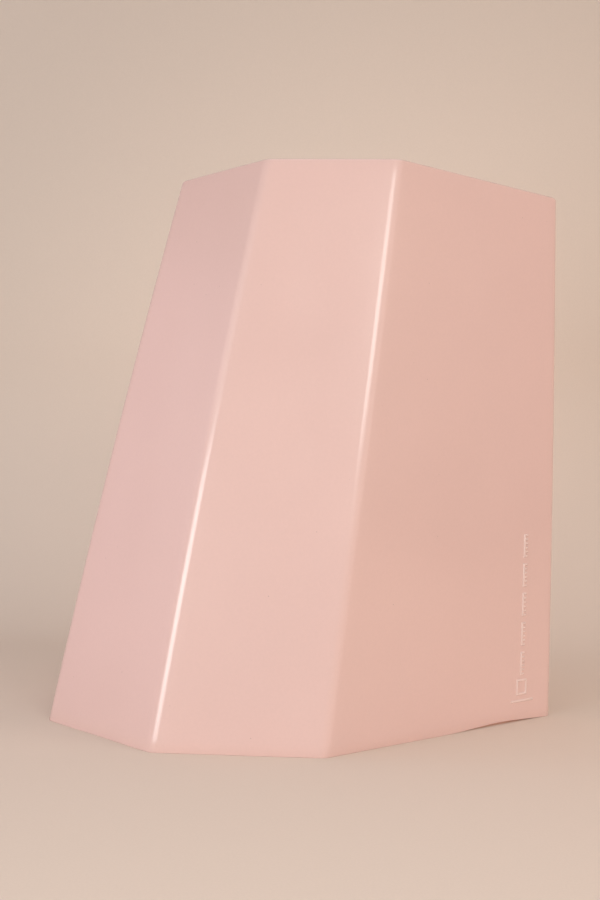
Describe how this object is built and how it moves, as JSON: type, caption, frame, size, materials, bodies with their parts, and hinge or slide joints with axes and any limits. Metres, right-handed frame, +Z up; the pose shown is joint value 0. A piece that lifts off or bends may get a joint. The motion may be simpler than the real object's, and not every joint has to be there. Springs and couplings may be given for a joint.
{
  "type": "stool",
  "caption": "Faceted one-piece moulded plastic stool, hollow and open underneath, with a dished seat and a hand slot.",
  "frame": {"origin": "on the surface the stool stands on, under the middle of its length and width", "axes": "+Z up; +X towards the upright corner, in the plane the stool is mirrored about; -Y towards the seen side"},
  "size_m": [0.4008, 0.3648, 0.43],
  "materials": {
    "polyethylene": "satin, self-coloured pale pink"
  },
  "bodies": {
    "root": {"moulded_shell": "polyethylene"}
  },
  "joints": []
}
